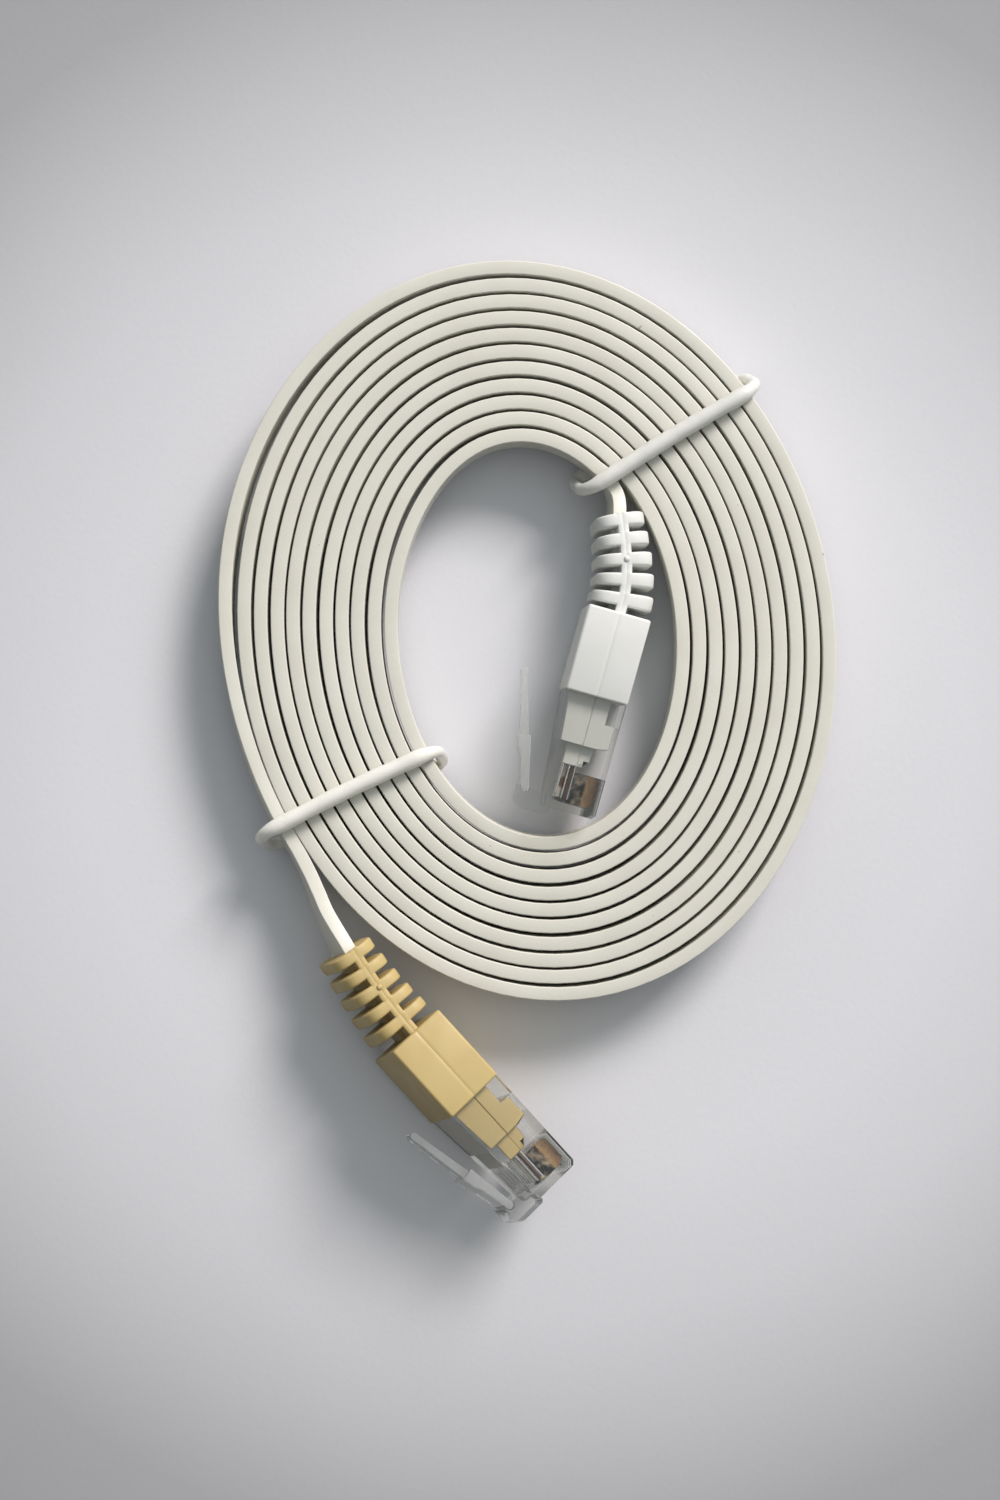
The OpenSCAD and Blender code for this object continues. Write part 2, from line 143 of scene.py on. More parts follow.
class Bench:
    """Wires the nodes of one material, or of the world."""

    # The stretch of a noise that a cloud spreads over 0 to 1.
    CLOUD = (0.35, 0.7)

    def __init__(self, name: str, tree: bpy.types.NodeTree | None = None) -> None:
        """Makes an empty material, or empties the world's node tree.

        Args:
            name: The new material's name.
            tree: The world's node tree, where no material is wanted.
        """
        self.material = None
        if tree is None:
            self.material = bpy.data.materials.new(name)
            self.material.use_nodes = True
        self.tree = self.material.node_tree if tree is None else tree
        self.tree.nodes.clear()
        self.place = self.node("ShaderNodeTexCoord", out="Object" if tree is None else "Generated")

    def node(
        self,
        kind: str,
        settings: dict[str, object] | None = None,
        sockets: dict[str | int, object] | None = None,
        out: str | int = 0,
    ) -> Signal:
        """Adds one node.

        Args:
            kind: The node's type.
            settings: Its properties, and a ramp's stops as (place, colour) pairs.
            sockets: Values or signals for its inputs, by name or number.
            out: The output that is returned.

        Returns:
            The output as a signal.
        """
        made = self.tree.nodes.new(kind)
        for name, value in (settings or {}).items():
            if name == "stops":
                self._set_stops(made.color_ramp, value)
            else:
                setattr(made, name, value)
        for name, value in (sockets or {}).items():
            if isinstance(value, Signal):
                self.tree.links.new(value.socket, made.inputs[name])
            else:
                made.inputs[name].default_value = value
        return Signal(self, made.outputs[out])

    @staticmethod
    def _set_stops(ramp: bpy.types.ColorRamp, stops: Sequence[tuple[float, object]]) -> None:
        """Puts the stops on a ramp.

        Args:
            ramp: The ramp, with the two stops that it starts with.
            stops: Every stop's place and colour.
        """
        while len(ramp.elements) < len(stops):
            ramp.elements.new(1.0)
        for element, (place, colour) in zip(ramp.elements, stops):
            element.position = place
            element.color = colour

    def maths(self, operation: str, a: "Signal | float", b: "Signal | float") -> Signal:
        """Adds one Math node."""
        return self.node("ShaderNodeMath", {"operation": operation}, {0: a, 1: b})

    def mix(self, factor: Signal | float, a: object, b: object, blend: str = "MIX") -> Signal:
        """Mixes two colours.

        Args:
            factor: 0 gives a, and 1 gives b or its blend with a.
            a: A linear colour or a signal.
            b: A linear colour or a signal.
            blend: The node's way of blending.

        Returns:
            The mixed colour.
        """
        settings = {"data_type": "RGBA", "blend_type": blend}
        # The node's colours are its inputs 6 and 7 and its output 2.
        return self.node("ShaderNodeMix", settings, {0: factor, 6: a, 7: b}, out=2)

    def noise(self, grain: float, detail: float, stretch: Point = (1, 1, 1)) -> Signal:
        """Adds noise in the piece's own space.

        Args:
            grain: Size of its blotches.
            detail: Number of finer octaves.
            stretch: How much longer the blotches are along each axis.

        Returns:
            The noise, about 0.5 at its middle.
        """
        scale = [1 / (MM * grain * s) for s in stretch]
        at = self.node("ShaderNodeMapping", {}, {"Vector": self.place, "Scale": scale})
        sockets = {"Vector": at, "Scale": 1.0, "Detail": detail}
        return self.node("ShaderNodeTexNoise", {}, sockets)

    def span(self, value: Signal, start: float, end: float) -> Signal:
        """Maps start..end onto 0..1 and clamps the rest."""
        sockets = {"Value": value, "From Min": start, "From Max": end}
        return self.node("ShaderNodeMapRange", {"clamp": True}, sockets)

    def cloud(self, grain: float, detail: float) -> Signal:
        """Adds soft blotches of that grain, from 0 to 1."""
        return self.span(self.noise(grain, detail), *self.CLOUD)

    def bump(self, height: Signal, depth: float, strength: float) -> Signal:
        """Turns a height into a normal; depth is the height of 1."""
        sockets = {"Height": height, "Distance": depth * MM, "Strength": strength}
        return self.node("ShaderNodeBump", {}, sockets)

    def surface(self, sockets: dict[str | int, object]) -> Signal:
        """Adds the principled shader with those inputs."""
        return self.node("ShaderNodeBsdfPrincipled", {}, sockets)

    def done(self, shader: Signal) -> bpy.types.Material:
        """Joins the shader to the output and returns the material."""
        self.finish("ShaderNodeOutputMaterial", shader)
        return self.material

    def finish(self, kind: str, shader: Signal) -> None:
        """Joins the shader to an output node of that type."""
        output = self.tree.nodes.new(kind)
        self.tree.links.new(shader.socket, output.inputs["Surface"])


# ---- Finishes -----------------------------------------------------------------------


@dataclass(frozen=True)
class JacketVinyl:
    """Extruded flexible jacket: faint mottling, a fine grain and a few specks."""

    base: Colour = (0.835, 0.832, 0.788)
    deep: Colour = (0.795, 0.788, 0.742)
    speck: Colour = (0.45, 0.42, 0.38)
    blotch: float = 6.0
    grain: float = 0.35
    waver: float = 1.8
    speck_gap: float = 0.9
    rough: float = 0.36
    relief: float = 0.02

    def material(self) -> bpy.types.Material:
        """Builds the material.

        Returns:
            The material.
        """
        bench = Bench("jacket_vinyl")
        cloud = bench.cloud(self.blotch, 3.0)
        grain = bench.noise(self.grain, 3.0)
        tint = bench.mix(cloud * 0.55 + bench.span(grain, 0.4, 0.75) * 0.25,
                         linear(self.base), linear(self.deep))
        specks = bench.span(bench.noise(self.speck_gap, 1.0), 0.80, 0.84)
        colour = bench.mix(specks * 0.5, tint, linear(self.speck))
        height = grain * 0.6 + bench.noise(self.waver, 2.0) * 0.8
        return bench.done(bench.surface({
            "Base Color": colour,
            "Roughness": self.rough + cloud * 0.14 + bench.span(grain, 0.3, 0.8) * 0.08,
            "Normal": bench.bump(height, self.relief, 0.5),
            "Specular IOR Level": 0.42,
        }))


@dataclass(frozen=True)
class BootVinyl:
    """Injection-moulded soft vinyl with a fine matt skin."""

    name: str
    base: Colour
    deep: Colour
    blotch: float = 4.5
    skin: float = 0.16
    waver: float = 2.4
    rough: float = 0.40
    relief: float = 0.012
    bleed: Point = (0.0016, 0.0012, 0.0008)

    def material(self) -> bpy.types.Material:
        """Builds the material.

        Returns:
            The material.
        """
        bench = Bench(self.name)
        cloud = bench.cloud(self.blotch, 2.0)
        skin = bench.noise(self.skin, 2.0)
        tint = bench.mix(cloud * 0.6 + bench.span(skin, 0.4, 0.8) * 0.2,
                         linear(self.base), linear(self.deep))
        return bench.done(bench.surface({
            "Base Color": tint,
            "Roughness": self.rough + cloud * 0.12 + bench.span(skin, 0.3, 0.8) * 0.08,
            "Normal": bench.bump(skin + bench.noise(self.waver, 1.0) * 0.7, self.relief, 0.6),
            "Specular IOR Level": 0.45,
            "Subsurface Weight": 0.08,
            "Subsurface Radius": self.bleed,
            "Subsurface Scale": 1.0,
        }))


@dataclass(frozen=True)
class ElasticRubber:
    """Milky elastic cord, a little translucent, with faint drawn streaks."""

    name: str
    base: Colour
    deep: Colour
    blotch: float = 1.6
    streak: float = 0.5
    streak_stretch: Point = (4, 2.4, 1)
    rough: float = 0.30
    relief: float = 0.03
    bleed: Point = (0.0022, 0.002, 0.0018)

    def material(self) -> bpy.types.Material:
        """Builds the material.

        Returns:
            The material.
        """
        bench = Bench(self.name)
        cloud = bench.cloud(self.blotch, 3.0)
        streak = bench.noise(self.streak, 2.0, self.streak_stretch)
        tint = bench.mix(cloud * 0.5 + bench.span(streak, 0.4, 0.7) * 0.3,
                         linear(self.base), linear(self.deep))
        return bench.done(bench.surface({
            "Base Color": tint,
            "Roughness": self.rough + cloud * 0.16,
            "Normal": bench.bump(streak + cloud * 0.5, self.relief, 0.5),
            "Subsurface Weight": 0.25,
            "Subsurface Radius": self.bleed,
            "Subsurface Scale": 1.0,
            "Coat Weight": 0.15,
            "Coat Roughness": 0.2,
        }))


@dataclass(frozen=True)
class ClearPlastic:
    """Clear moulded polycarbonate with faint flow marks; lamps shine through it."""

    name: str = "clear_polycarbonate"
    clearness: float = 1.0
    haze: float = 0.03
    glow: float = 0.0
    tint: Colour = (0.915, 0.918, 0.905)
    shade: Colour = (0.955, 0.952, 0.945)
    flow: float = 1.6
    scuff: float = 0.7
    relief: float = 0.012
    bleed: Point = (0.002, 0.002, 0.002)

    def material(self) -> bpy.types.Material:
        """Builds the material.

        Returns:
            The material.
        """
        bench = Bench(self.name)
        flow = bench.noise(self.flow, 3.0)
        scuff = bench.span(bench.noise(self.scuff, 4.0), 0.62, 0.72)
        glass = bench.surface({
            "Base Color": linear(self.tint),
            "Roughness": self.haze + scuff * 0.10,
            "Normal": bench.bump(flow + scuff * 0.4, self.relief, 0.22),
            "Transmission Weight": self.clearness,
            "IOR": 1.5,
            "Subsurface Weight": self.glow,
            "Subsurface Radius": self.bleed,
            "Subsurface Scale": 1.0,
        })
        window = bench.node("ShaderNodeBsdfTransparent", {}, {"Color": linear(self.shade)})
        shadow = bench.node("ShaderNodeLightPath", out="Is Shadow Ray")
        scattered = bench.node("ShaderNodeLightPath", out="Is Diffuse Ray")
        passed = bench.maths("MAXIMUM", shadow, scattered)
        return bench.done(bench.node("ShaderNodeMixShader", {}, {0: passed, 1: glass, 2: window}))


@dataclass(frozen=True)
class ContactMetal:
    """Stamped bronze: painted shade and glints in its slot, with worn gold plate along the crown.
    """

    name: str
    nose: Point
    towards_crown: Point
    gold: Colour = (0.72, 0.58, 0.42)
    worn: Colour = (0.56, 0.44, 0.32)
    dull: Colour = (0.36, 0.28, 0.21)
    # Painted shade and dark reflection below the crown, and painted glints on it.
    painted_shade: Colour = (0.06, 0.055, 0.05)
    painted_glint: Colour = (0.62, 0.56, 0.48)
    crown_from: float = 0.95
    crown_full: float = 1.25
    crown_dull: float = 2.5
    wear_size: float = 0.8
    wear_stretch: Point = (1, 1, 4)
    glint_grain: float = 0.9
    scratch: float = 0.12
    scratch_stretch: Point = (5, 1, 1)
    relief: float = 0.006

    def material(self) -> bpy.types.Material:
        """Builds the material.

        Returns:
            The material.
        """
        bench = Bench(self.name)
        nose = [v * MM for v in self.nose]
        off = bench.node("ShaderNodeVectorMath", {"operation": "SUBTRACT"},
                         {0: bench.place, 1: nose})
        height = bench.node("ShaderNodeVectorMath", {"operation": "DOT_PRODUCT"},
                            {0: off, 1: self.towards_crown}, "Value")
        crown = bench.span(height, self.crown_from * MM, self.crown_full * MM)
        # The plate's colour grows darker further up the crown.
        crown_darkening = bench.span(height, self.crown_full * MM, self.crown_dull * MM)
        wear = bench.span(bench.noise(self.wear_size, 1.0, self.wear_stretch), 0.3, 0.7)
        plated = bench.mix(wear, linear(self.gold), linear(self.worn))
        plated = bench.mix(crown_darkening, plated, linear(self.dull))
        # Below the crown the blade's colour is painted near-black as shade and dark reflection,
        # with painted glint spots.
        painted_glint_spots = bench.span(bench.noise(self.glint_grain, 1.0), 0.45, 0.75)
        painted_blade = bench.mix(painted_glint_spots, linear(self.painted_shade), linear(self.painted_glint))
        scratches = bench.noise(self.scratch, 2.0, self.scratch_stretch)
        return bench.done(bench.surface({
            "Base Color": bench.mix(crown, painted_blade, plated),
            "Metallic": 1.0,
            "Roughness": 0.24 + wear * 0.16,
            "Normal": bench.bump(scratches, self.relief, 0.6),
        }))


class Wire(Enum):
    """The insulated conductors in the order of the contacts: name, body and stripe."""

    ONE = ("white_orange_wire", (0.88, 0.84, 0.78), (0.83, 0.45, 0.16))
    TWO = ("orange_wire", (0.80, 0.40, 0.13), None)
    THREE = ("white_green_wire", (0.86, 0.87, 0.82), (0.16, 0.47, 0.24))
    FOUR = ("blue_wire", (0.12, 0.26, 0.58), None)
    FIVE = ("white_blue_wire", (0.85, 0.87, 0.89), (0.16, 0.30, 0.62))
    SIX = ("green_wire", (0.13, 0.42, 0.21), None)
    SEVEN = ("white_brown_wire", (0.86, 0.83, 0.79), (0.40, 0.24, 0.15))
    EIGHT = ("brown_wire", (0.27, 0.17, 0.12), None)


@dataclass(frozen=True)
class WireInsulation:
    """Glossy insulation, with a stripe on the paler wire of each pair."""

    wire: Wire
    blotch: float = 0.8
    deeper: float = 0.8
    stripe_step: float = 0.55
    stripe_stretch: Point = (4, 4, 1)
    skin: float = 0.2
    relief: float = 0.008

    def material(self) -> bpy.types.Material:
        """Builds the material.

        Returns:
            The material.
        """
        name, body, stripe = self.wire.value
        bench = Bench(name)
        cloud = bench.cloud(self.blotch, 2.0)
        shade = linear(tuple(c * self.deeper for c in body))
        colour = bench.mix(cloud * 0.7, linear(body), shade)
        if stripe is not None:
            band = bench.span(bench.noise(self.stripe_step, 0.0, self.stripe_stretch), 0.5, 0.56)
            colour = bench.mix(band, colour, linear(stripe))
        return bench.done(bench.surface({
            "Base Color": colour,
            "Roughness": 0.28 + cloud * 0.14,
            "Normal": bench.bump(bench.noise(self.skin, 2.0), self.relief, 0.5),
        }))


@dataclass(frozen=True)
class PaperFloor:
    """Smooth pale card, whose colour is painted darker with distance from the cable's middle, as
    painted shade.
    """

    base: Colour = (0.842, 0.846, 0.862)
    deep: Colour = (0.822, 0.826, 0.842)
    # Painted shade: the card's colour level at each distance in mm from the middle.
    painted_falloff: Sequence[tuple[float, float]] = ((0, 1), (57, 0.975), (75, 0.88), (89, 0.74),
                                              (106, 0.54), (130, 0.46))
    blotch: float = 60.0
    fibre: float = 0.7
    rough: float = 0.75
    relief: float = 0.05

    def material(self) -> bpy.types.Material:
        """Builds the material.

        Returns:
            The material.
        """
        bench = Bench("pale_card")
        cloud = bench.cloud(self.blotch, 3.0)
        fibre = bench.noise(self.fibre, 4.0)
        tint = bench.mix(cloud * 0.5 + bench.span(fibre, 0.3, 0.8) * 0.3,
                         linear(self.base), linear(self.deep))
        reach = self.painted_falloff[-1][0]
        out = bench.node("ShaderNodeVectorMath", {"operation": "LENGTH"}, {0: bench.place},
                         "Value")
        # The card's colour is painted darker outwards, as painted shade of a vignette.
        stops = [(far / reach, (level, level, level, 1.0)) for far, level in self.painted_falloff]
        shade = bench.node("ShaderNodeValToRGB", {"stops": stops},
                           {"Fac": bench.span(out, 0.0, reach * MM)})
        return bench.done(bench.surface({
            "Base Color": bench.mix(1.0, tint, shade, "MULTIPLY"),
            "Roughness": self.rough + cloud * 0.1,
            "Normal": bench.bump(fibre, self.relief, 0.35),
            "Specular IOR Level": 0.25,
        }))


# ---- Meshes -------------------------------------------------------------------------

# An edge that turns by more than this stays sharp.
CREASE = math.radians(38)


def lofted(name: str, rings: Sequence[np.ndarray], closed: bool = False) -> bpy.types.Object:
    """Makes one mesh through rings of equal count.

    Args:
        name: The piece's name.
        rings: Each ring's points, in millimetres.
        closed: True joins the last ring to the first; otherwise both ends are capped.

    Returns:
        The new object, smooth shaded.
    """
    sides = len(rings[0])
    points = np.concatenate(rings) * MM
    last = len(rings) - (0 if closed else 1)
    faces: list[tuple[int, ...]] = []
    for i in range(last):
        here, there = i * sides, ((i + 1) % len(rings)) * sides
        for j in range(sides):
            k = (j + 1) % sides
            faces.append((here + j, here + k, there + k, there + j))
    if not closed:
        faces.append(tuple(range(sides)))
        faces.append(tuple(range(len(points) - sides, len(points))))
    mesh = bpy.data.meshes.new(name)
    mesh.from_pydata(points.tolist(), [], faces)
    shape = bmesh.new()
    shape.from_mesh(mesh)
    bmesh.ops.recalc_face_normals(shape, faces=shape.faces)
    for face in shape.faces:
        face.smooth = True
    for edge in shape.edges:
        edge.smooth = len(edge.link_faces) < 2 or edge.calc_face_angle(0.0) < CREASE
    shape.to_mesh(mesh)
    shape.free()
    made = bpy.data.objects.new(name, mesh)
    bpy.context.scene.collection.objects.link(made)
    return made


def rounded_box(width: float, height: float, corner: float, steps: int) -> np.ndarray:
    """Returns the outline of a rounded rectangle, in (width, height) points.

    Args:
        width: Full width.
        height: Full height.
        corner: Radius of the corners.
        steps: Segments on each corner.

    Returns:
        The points, counter-clockwise from the right side.
    """
    points = []
    for quarter, (sx, sy) in enumerate([(1, 1), (-1, 1), (-1, -1), (1, -1)]):
        for k in range(steps + 1):
            a = math.radians(90 * quarter + 90 * k / steps)
            points.append((sx * (width / 2 - corner) + corner * math.cos(a),
                           sy * (height / 2 - corner) + corner * math.sin(a)))
    return np.array(points)


def catmull(points: Sequence[Point], step: float) -> list[np.ndarray]:
    """Runs a smooth curve through points, all but the outer two.

    Args:
        points: Rows whose first three numbers are a place; further numbers go along.
        step: Distance between the rows that come back.

    Returns:
        Rows from the second point to the last but one.
    """
    p = [np.array(row, float) for row in points]
    rows: list[np.ndarray] = []
    for a, b, c, d in zip(p, p[1:], p[2:], p[3:]):
        count = max(2, round(np.linalg.norm((c - b)[:3]) / step))
        for k in range(count):
            t = k / count
            rows.append(0.5 * (2 * b + (c - a) * t + (2 * a - 5 * b + 4 * c - d) * t**2
                               + (3 * b - a - 3 * c + d) * t**3))
    rows.append(p[-2])
    return rows


# ---- Ends of the cable --------------------------------------------------------------


@dataclass(frozen=True)
class PlugEnd:
    """Where one plug lies and how the strain relief behind it bends."""

    name: str
    nose: Point
    heading: float
    roll: float
    bend: float
    tail_dip: float
    tail_roll: float
    rib_pitch: float
    rib_from: float
    plug_l: float = 14.8
    block_l: float = 11.0
    middle: float = -0.575
    rib_count: int = 5

    @property
    def rear(self) -> float:
        """Place of the block's rear face on the plug's x axis."""
        return -self.plug_l - self.block_l

    @property
    def relief_l(self) -> float:
        """Length of the ribbed relief."""
        return self.rib_from + self.rib_count * self.rib_pitch

    def rib_rear(self, i: int) -> float:
        """Returns the place of rib i's rear face, with the ribs counted from the block."""
        return self.rear - self.rib_from - (i + 1) * self.rib_pitch

    @staticmethod
    def axes(heading: float, dip: float, roll: float) -> np.ndarray:
        """Turns the axes by the roll, then by the dip, then by the heading.

        Args:
            heading: Heading of the x axis in plan.
            dip: Climb of the x axis, so that what lies behind it dips.
            roll: Turn about the x axis.

        Returns:
            The x, y and z axes as rows.
        """
        h, d, r = (math.radians(a) for a in (heading, dip, roll))
        turn_z = np.array([[math.cos(h), -math.sin(h), 0], [math.sin(h), math.cos(h), 0],
                           [0, 0, 1]])
        turn_y = np.array([[math.cos(d), 0, -math.sin(d)], [0, 1, 0],
                           [math.sin(d), 0, math.cos(d)]])
        turn_x = np.array([[1, 0, 0], [0, math.cos(r), -math.sin(r)],
                           [0, math.sin(r), math.cos(r)]])
        return (turn_z @ turn_y @ turn_x).T

    def frame(self, x: float) -> tuple[np.ndarray, np.ndarray]:
        """Gives the moulding's own frame at a place along it.

        Args:
            x: Place on the plug's x axis, which bends along the relief behind the block.

        Returns:
            The origin, and the x, y and z axes as rows.
        """
        plug = self.axes(self.heading, 0, self.roll)
        if x >= self.rear:
            return np.array(self.nose) + x * plug[0], plug
        s = self.rear - x
        share = s / self.relief_l
        turned = math.radians(90 * share)
        mean = self.heading + self.bend * (1 - math.cos(turned)) / turned
        back = np.array(direction(mean, self.tail_dip * share / 2))
        axes = self.axes(self.heading + self.bend * math.sin(turned), self.tail_dip * share,
                         self.roll + (self.tail_roll - self.roll) * share)
        start = np.array(self.nose) + self.rear * plug[0] + self.middle * plug[1]
        return start - s * back - self.middle * axes[1], axes

    def on_middle(self, x: float) -> np.ndarray:
        """Returns the point on the relief's middle line at x."""
        origin, axes = self.frame(x)
        return origin + self.middle * axes[1]


WHITE_END = PlugEnd("white", nose=(4.75, -8.7, 6.7), heading=-105.6, roll=-2.5, bend=25,
                    tail_dip=4.9, tail_roll=-8.5, rib_pitch=2.43, rib_from=0)
YELLOW_END = PlugEnd("yellow", nose=(2.28, -55.69, 7.07), heading=-47.65, roll=-17.2, bend=-9,
                     tail_dip=-4.3, tail_roll=-20.8, rib_pitch=2.57, rib_from=0.4)


# ---- The cable ----------------------------------------------------------------------


@dataclass
class FlatCable:
    """The whole flat jacket, from inside one boot, round the coil, into the other.

    Angles round the coil grow from turn to turn. A route's row is x, y, z and lean, and a
    wave is its size and its swings per turn.
    """

    width: float = 5.8
    thickness: float = 1.7
    corner: float = 0.15
    corner_steps: int = 4
    coil_start: float = 69
    coil_turns: float = 10.42
    inner_half_w: float = 17.3
    inner_half_l: float = 25.2
    pitch_w: float = 2.034
    pitch_l: float = 2.138
    oval_tilt: float = 96.2
    oval_turn: float = 0.38
    centre: Point = (0.5, 13.65)
    height: float = 4.98
    straight_end: float = 1.6
    rings_per_turn: int = 120
    inside_boot: float = 0.8
    lead_step: float = 0.35
    inner_lean: float = -1
    inner_lean_run: float = 48
    outer_lean: float = 9
    outer_lean_run: float = 62
    outer_shift: float = 0.1
    loose_by: float = 0.6
    loose_at: float = 62
    loose_spread: float = 38
    inner_gap: float = 0.3
    gap_at: float = 62
    gap_spread: float = 24
    settle_run: float = 20
    lean_waves: Sequence[Point] = ((0.8, 2.3), (0.5, 0.71))
    lift_waves: Sequence[Point] = ((0.07, 0.83), (0.04, 3.1))
    white_route: Sequence[Point] = ((11.05, 30.6, 5.5, -5), (10.7, 32.1, 5.15, -2))
    yellow_route: Sequence[Point] = (
        (-28.1, -16.7, 5.2, 10), (-27.0, -19.3, 5.7, 12), (-25.8, -22.1, 6.5, 15))

    @property
    def coil_end(self) -> float:
        """Angle at which the outermost turn ends."""
        return self.coil_start + 360 * self.coil_turns

    def radius(self, t: float) -> float:
        """Works out the oval spiral.

        Args:
            t: Angle round the coil.

        Returns:
            The distance from the coil's centre to the jacket's middle.
        """
        turn = (t - self.coil_start) / 360
        half_w = self.inner_half_w + self.pitch_w * turn
        half_l = self.inner_half_l + self.pitch_l * turn
        a = math.radians(t - self.oval_tilt - self.oval_turn * turn)
        return half_w * half_l / math.hypot(half_w * math.cos(a), half_l * math.sin(a))

    def slack(self, t: float) -> float:
        """Lets the loose turn at either end of the coil stand off its neighbour.

        Args:
            t: Angle round the coil.

        Returns:
            What the radius gains there; less than 0 is inwards.
        """
        on, back = t - self.coil_start, self.coil_end - t
        lean_side = ease(1 - back / self.outer_lean_run)
        outer = math.exp(-(((back - self.loose_at) / self.loose_spread) ** 2))
        inner = math.exp(-(((on - self.gap_at) / self.gap_spread) ** 2))
        return self.outer_shift * lean_side + self.loose_by * outer - self.inner_gap * inner

    def lean(self, t: float) -> float:
        """Leans the jacket off upright.

        Args:
            t: Angle round the coil.

        Returns:
            The lean; a positive one takes the top inwards.
        """
        on, back = t - self.coil_start, self.coil_end - t
        return (self.inner_lean * ease(1 - on / self.inner_lean_run)
                + self.outer_lean * ease(1 - back / self.outer_lean_run)
                + waves(self.lean_waves, math.radians(t)))

    def lift(self, t: float) -> float:
        """Returns how far a turn's edge stands above or below its neighbours' at angle t."""
        return waves(self.lift_waves, math.radians(t))

    def coil_row(self, t: float) -> np.ndarray:
        """Places the jacket at one angle.

        Args:
            t: Angle round the coil.

        Returns:
            The route's row there.
        """
        a, r = math.radians(t), self.radius(t) + self.slack(t)
        settled = (ease((t - self.coil_start) / self.settle_run)
                   * ease((self.coil_end - t) / self.settle_run))
        return np.array([self.centre[0] + r * math.cos(a), self.centre[1] + r * math.sin(a),
                         self.height + self.lift(t) * settled, self.lean(t)])

    def tail_rows(self, end: PlugEnd) -> list[np.ndarray]:
        """Lays the jacket into a boot's rear rib.

        Args:
            end: The end of the cable that the boot is on.

        Returns:
            The route's rows, from the inside to the rib's rear face.
        """
        rows = []
        # The first row only gives the curve its direction.
        for x in (self.inside_boot + 1, self.inside_boot, 0.0):
            at = end.rear - end.relief_l + x
            roll = end.roll + (end.tail_roll - end.roll) * (end.rear - at) / end.relief_l
            rows.append(np.append(end.on_middle(at), roll))
        return rows

    def route(self) -> list[np.ndarray]:
        """Lays out the whole middle line.

        Returns:
            Rows of x, y, z and lean, from the white boot to the yellow one.
        """
        angles = np.linspace(self.coil_start, self.coil_end,
                             round(self.coil_turns * self.rings_per_turn) + 1)
        coil = [self.coil_row(t) for t in angles]
        white = self.tail_rows(WHITE_END)
        lead_in = white + [np.array(p) for p in self.white_route]
        lead_in.append(self._past(coil[0], coil[1]))
        lead_out = [self._past(coil[-1], coil[-2])]
        lead_out += [np.array(p) for p in self.yellow_route]
        tail = [row * np.array([1, 1, 1, -1]) for row in self.tail_rows(YELLOW_END)]
        lead_out += tail[::-1]
        first = catmull(lead_in + [coil[0], coil[3]], self.lead_step)
        last = catmull([coil[-4], coil[-1]] + lead_out, self.lead_step)
        return first[:-1] + coil + last[1:]

    def _past(self, end: np.ndarray, before: np.ndarray) -> np.ndarray:
        """Ends the short straight stretch that follows on either end of the coil.

        Args:
            end: The coil's row at that end.
            before: The row next to it.

        Returns:
            The route's row at the stretch's far end.
        """
        out = end.copy()
        out[:3] += self.straight_end * unit((end - before)[:3])
        return out

    def build(self) -> tuple[bpy.types.Object, list[np.ndarray]]:
        """Makes the jacket.

        Returns:
            The piece, and its ring centres in millimetres.
        """
        rows = self.route()
        outline = rounded_box(self.thickness, self.width, self.corner, self.corner_steps)
        rings = []
        for i, row in enumerate(rows):
            ahead = unit(rows[min(i + 1, len(rows) - 1)][:3] - rows[max(i - 1, 0)][:3])
            left = unit(np.array([-ahead[1], ahead[0], 0]))
            up = np.cross(ahead, left)
            a = math.radians(row[3])
            wide, high = (left * math.cos(a) - up * math.sin(a),
                          up * math.cos(a) + left * math.sin(a))
            rings.append(row[:3] + outline[:, :1] * wide + outline[:, 1:] * high)
        return lofted("flat_jacket", rings), [row[:3] for row in rows]


